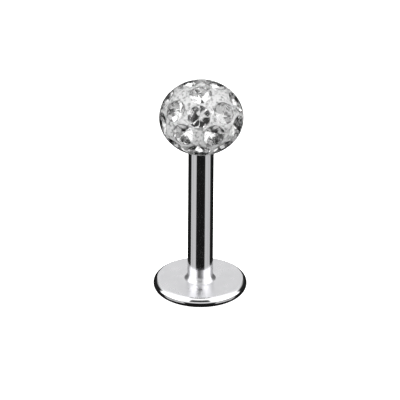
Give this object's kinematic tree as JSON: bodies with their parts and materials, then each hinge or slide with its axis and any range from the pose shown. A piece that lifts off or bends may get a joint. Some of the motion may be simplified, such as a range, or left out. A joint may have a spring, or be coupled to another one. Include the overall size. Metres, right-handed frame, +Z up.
{
  "type": "labret stud",
  "caption": "Steel labret stud: a flat disc with a rounded rim, a straight post and a screw-on oval ball set with clear cut stones under clear resin.",
  "frame": {"origin": "centre of the disc's flat underside", "axes": "+Z up along the post towards the ball, -Y towards the front"},
  "size_m": [0.0044, 0.0044, 0.0107],
  "materials": {
    "polished_steel": "surgical steel, mirror polished",
    "turned_steel": "surgical steel, turned",
    "setting_clay": "pale epoxy clay, smooth",
    "clear_resin": "clear epoxy resin, self-levelled gloss",
    "cut_stone": "clear cut glass, silver foil behind the pavilion"
  },
  "bodies": {
    "bar": {"bar": "polished_steel"},
    "ball": {"ball_core": "turned_steel", "setting": "setting_clay", "clear_coat": "clear_resin", "stone_01": "cut_stone", "stone_02": "cut_stone", "stone_03": "cut_stone", "stone_04": "cut_stone", "stone_05": "cut_stone", "stone_06": "cut_stone", "stone_07": "cut_stone", "stone_08": "cut_stone", "stone_09": "cut_stone", "stone_10": "cut_stone", "stone_11": "cut_stone", "stone_12": "cut_stone", "stone_13": "cut_stone", "stone_14": "cut_stone", "stone_15": "cut_stone", "stone_16": "cut_stone", "stone_17": "cut_stone", "stone_18": "cut_stone", "stone_19": "cut_stone", "stone_20": "cut_stone", "stone_21": "cut_stone", "stone_22": "cut_stone", "stone_23": "cut_stone", "stone_24": "cut_stone", "stone_25": "cut_stone", "stone_26": "cut_stone", "stone_27": "cut_stone"}
  },
  "joints": [
    {"name": "ball_unscrew", "type": "slide", "parent": "bar", "child": "ball", "axis": [0, 0, 1], "range_m": [0, 0.008]}
  ]
}
